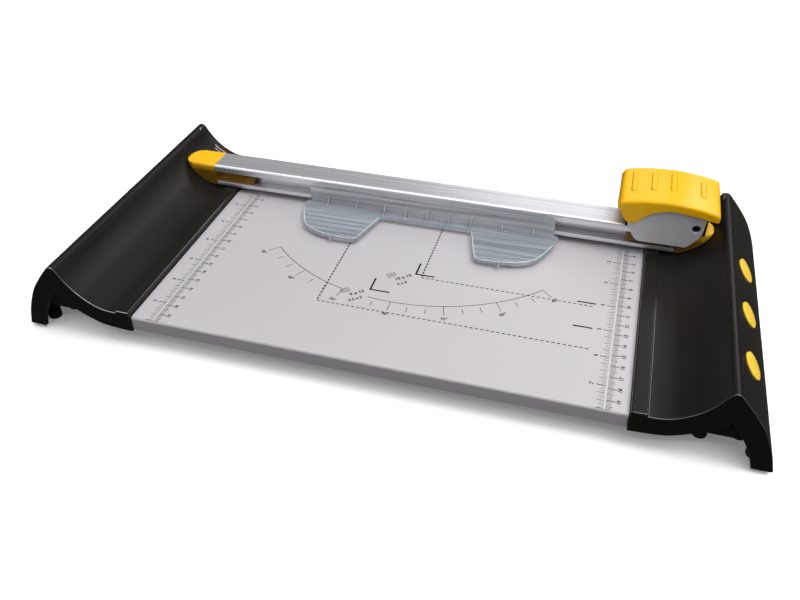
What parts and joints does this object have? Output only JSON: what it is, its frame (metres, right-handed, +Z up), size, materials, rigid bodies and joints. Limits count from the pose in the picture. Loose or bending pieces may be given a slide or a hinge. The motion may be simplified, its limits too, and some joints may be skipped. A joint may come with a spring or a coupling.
{
  "type": "rotary paper trimmer",
  "caption": "Rotary paper trimmer: ruled cutting board between two raised side trays, cutting rail with hinged clear guard, and a sliding head with press lever and round blade.",
  "frame": {"origin": "centre of the footprint on the table top", "axes": "+X along the rail towards the parked cutting head, +Y from the user's edge to the back edge, +Z up"},
  "size_m": [0.4846, 0.213, 0.0734],
  "materials": {
    "black_plastic": "satin moulded",
    "board_plastic": "smooth painted silver grey",
    "strip_plastic": "soft matt",
    "yellow_plastic": "semi gloss moulded",
    "grey_plastic": "satin moulded",
    "clear_plastic": "clear, slightly blue grey",
    "nylon": "natural",
    "aluminium": "anodised extrusion, fine lengthwise lines",
    "steel": "zinc plated",
    "blade_steel": "ground",
    "rubber": "matt"
  },
  "bodies": {
    "base": {"base_board": "board_plastic", "cutting_strip": "strip_plastic", "tray_right": "black_plastic", "tray_left": "black_plastic", "flank_insert_1": "yellow_plastic", "flank_insert_2": "yellow_plastic", "flank_insert_3": "yellow_plastic", "foot_left_1": "rubber", "foot_left_2": "rubber", "foot_left_3": "rubber", "foot_left_4": "rubber", "foot_left_5": "rubber", "foot_left_6": "rubber", "foot_right_1": "rubber", "foot_right_2": "rubber", "foot_right_3": "rubber", "foot_right_4": "rubber", "foot_right_5": "rubber", "foot_right_6": "rubber", "board_screw_left_1": "steel", "board_screw_left_2": "steel", "board_screw_right_1": "steel", "board_screw_right_2": "steel", "rail_screw_left": "steel", "rail_screw_right": "steel", "stop_buffer_left": "rubber", "stop_buffer_right": "rubber", "rail": "aluminium", "rail_cap_right": "yellow_plastic", "rail_cap_left": "yellow_plastic"},
    "guard": {"clear_guard": "clear_plastic"},
    "carriage": {"carriage_body": "black_plastic", "glide_shoe_top": "nylon", "glide_shoe_rear": "nylon", "front_cover": "grey_plastic", "cover_screw": "steel", "lever_pin": "steel", "pin_clip": "steel", "lever_spring": "steel"},
    "lever": {"press_lever": "yellow_plastic"},
    "cartridge": {"cartridge_body": "black_plastic", "cartridge_cap": "black_plastic", "blade_axle": "steel", "axle_washer": "steel"},
    "blade": {"rotary_blade": "blade_steel"}
  },
  "joints": [
    {"name": "carriage_slide", "type": "slide", "parent": "base", "child": "carriage", "axis": [-1, 0, 0], "range_m": [0, 0.342]},
    {"name": "guard_tilt", "type": "hinge", "parent": "base", "child": "guard", "pos_m": [0, 0.058, 0.0455], "axis": [-1, 0, 0], "range_deg": [0, 5]},
    {"name": "lever_press", "type": "hinge", "parent": "carriage", "child": "lever", "pos_m": [0.1475, 0.078, 0.059], "axis": [0, 1, 0], "range_deg": [0, 4.58], "stiffness_Nm_per_rad": 4, "springref_deg": -1.72, "deforming": ["lever_spring"]},
    {"name": "cartridge_drop", "type": "slide", "parent": "carriage", "child": "cartridge", "axis": [0, 0, -1], "range_m": [0, 0.00272]},
    {"name": "blade_spin", "type": "hinge", "parent": "cartridge", "child": "blade", "pos_m": [0.171, 0.093, 0.04184], "axis": [0, -1, 0], "continuous": true}
  ],
  "couplings": [
    {"joint": "lever_press", "follows": "cartridge_drop", "rad_per_m": 29.412},
    {"joint": "blade_spin", "follows": "carriage_slide", "rad_per_m": 71.429}
  ]
}
